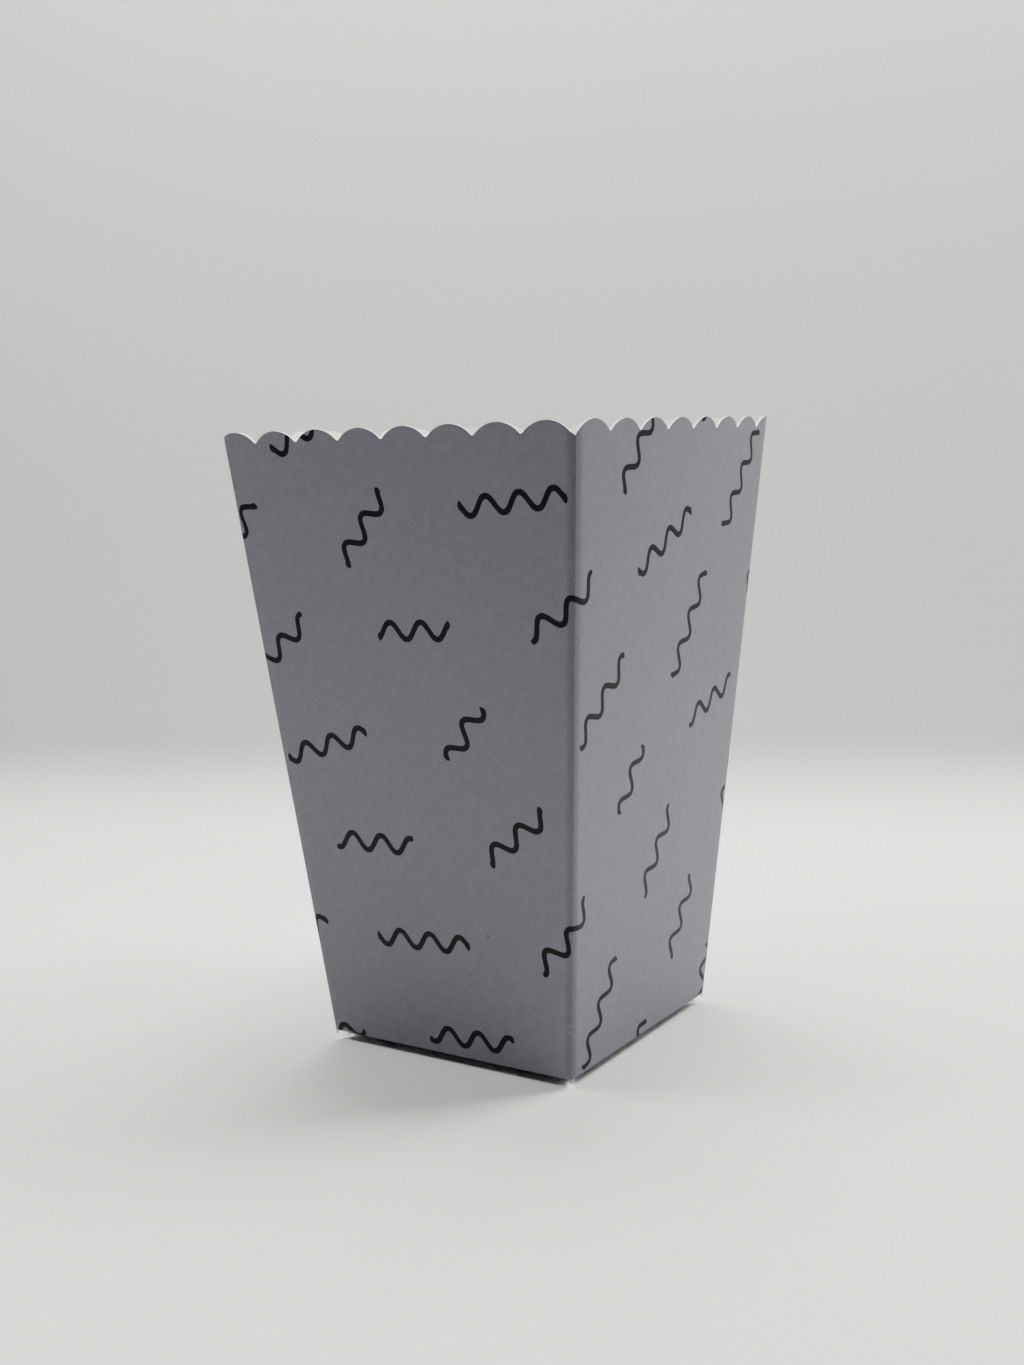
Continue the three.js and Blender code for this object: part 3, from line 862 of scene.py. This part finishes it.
class POPCORNBOX_OT_set_stage(bpy.types.Operator):
    """Lays the pale sweep and places the soft lights and the camera"""

    bl_idname = "popcorn_box.set_stage"
    bl_label = "Set the stage"

    def execute(self, context):
        stage = context.scene.popcorn_box_stage
        sweep = link_to_scene("studio_sweep", sweep_mesh(stage))
        sweep.data.materials.append(sweep_material(stage))
        sweep.rotation_euler.z = stage.camera_yaw - stage.sweep_turn
        # A place and a target are so far right of the box, behind it and up, as the camera sees it.
        for name, place, target, size, power in (
            ("back_softbox", (0.0, 0.13, 0.52), (0.0, 0.13, 0.0), 0.25, stage.back_power),
            ("left_softbox", (-0.3, 0.0, 0.45), (0.0, 0.0, 0.05), 0.2, stage.left_power),
            ("right_softbox", (0.3, 0.05, 0.5), (0.0, 0.0, 0.05), 0.2, stage.right_power),
            ("side_softbox", (0.42, 0.12, 0.4), (0.0, 0.0, 0.05), 0.3, stage.side_power),
        ):
            softbox(name, stage_point(stage, place), stage_point(stage, target), size, power)
        context.scene.world = room_world(stage)
        place_camera(context.scene, stage)
        return {"FINISHED"}


def sweep_mesh(stage):
    """Floor and backdrop as one sheet, curved up behind the box."""
    profile = [(-stage.floor_front, 0.0)]
    for step in range(SWEEP_STEPS + 1):
        angle = math.pi / 2 * step / SWEEP_STEPS
        profile.append((stage.sweep_start + stage.sweep_radius * math.sin(angle),
                        stage.sweep_radius * (1 - math.cos(angle))))
    profile.append((stage.sweep_start + stage.sweep_radius, stage.backdrop_height))
    half_width = stage.sweep_width / 2
    points = [(x, y, z) for y, z in profile for x in (-half_width, half_width)]
    faces = [(2 * i, 2 * i + 1, 2 * i + 3, 2 * i + 2) for i in range(len(profile) - 1)]
    mesh = bpy.data.meshes.new("studio_sweep")
    mesh.from_pydata(points, [], faces)
    mesh.shade_smooth()
    return mesh


def room_world(stage):
    """The room around the tent: the camera sees it as pale grey, and it gives no light."""
    world = bpy.data.worlds.new("room_around_the_tent")
    world.use_nodes = True
    tree = world.node_tree
    sight = add_node(tree, "ShaderNodeLightPath", {}).outputs["Is Camera Ray"]
    background = tree.nodes["Background"]
    background.inputs["Color"].default_value = linear_colour(stage.room_hex)
    tree.links.new(sight, background.inputs["Strength"])
    return world


def stage_point(stage, place):
    """A point given as so far right of the box, behind it and up, as the camera sees it."""
    return Matrix.Rotation(stage.camera_yaw, 3, "Z") @ Vector(place)


def softbox(name, place, target, size, power):
    """A square soft light that faces a point."""
    light = bpy.data.lights.new(name, "AREA")
    light.size = size
    light.energy = power
    lamp = link_to_scene(name, light)
    lamp.location = place
    lamp.rotation_euler = (place - target).to_track_quat("Z", "Y").to_euler()


def place_camera(scene, stage):
    """The camera at the photograph's place and angle. Its long side is 36 mm."""
    camera = bpy.data.cameras.new("studio_camera")
    camera.sensor_width = 36.0
    camera.sensor_fit = "AUTO"
    camera.lens = stage.camera_lens
    camera.clip_start = 0.01
    holder = link_to_scene("studio_camera", camera)
    turn = (Matrix.Rotation(stage.camera_yaw, 3, "Z") @ Matrix.Rotation(stage.camera_pitch, 3, "X")
            @ Matrix.Rotation(stage.camera_roll, 3, "Y") @ Matrix.Rotation(math.pi / 2, 3, "X"))
    holder.matrix_world = Matrix.Translation(Vector(stage.camera_place)) @ turn.to_4x4()
    scene.camera = holder


class POPCORNBOX_PT_builder(bpy.types.Panel):
    """Lists the steps and the values that a user would change"""

    bl_idname = "POPCORNBOX_PT_builder"
    bl_label = "Popcorn box"
    bl_space_type = "VIEW_3D"
    bl_region_type = "UI"
    bl_category = "Popcorn box"

    def draw(self, context):
        for operator in (POPCORNBOX_OT_fold_carton, POPCORNBOX_OT_set_stage):
            self.layout.operator(operator.bl_idname)
        for name in VALUE_GROUPS:
            values = getattr(context.scene, name)
            box = self.layout.box()
            for key in values.__annotations__:
                box.prop(values, key)


VALUE_GROUPS = {
    "popcorn_box_sizes": PopcornBoxSizes,
    "popcorn_box_print": PopcornBoxPrint,
    "popcorn_box_stage": PopcornBoxStage,
}
CLASSES = (
    *VALUE_GROUPS.values(),
    POPCORNBOX_OT_fold_carton,
    POPCORNBOX_OT_set_stage,
    POPCORNBOX_PT_builder,
)


def register():
    for cls in CLASSES:
        bpy.utils.register_class(cls)
    for name, group in VALUE_GROUPS.items():
        setattr(bpy.types.Scene, name, bpy.props.PointerProperty(type=group))


def unregister():
    for name in VALUE_GROUPS:
        delattr(bpy.types.Scene, name)
    for cls in reversed(CLASSES):
        bpy.utils.unregister_class(cls)


def main():
    register()
    bpy.ops.popcorn_box.set_stage()
    bpy.ops.popcorn_box.fold_carton()


if __name__ == "__main__":
    main()
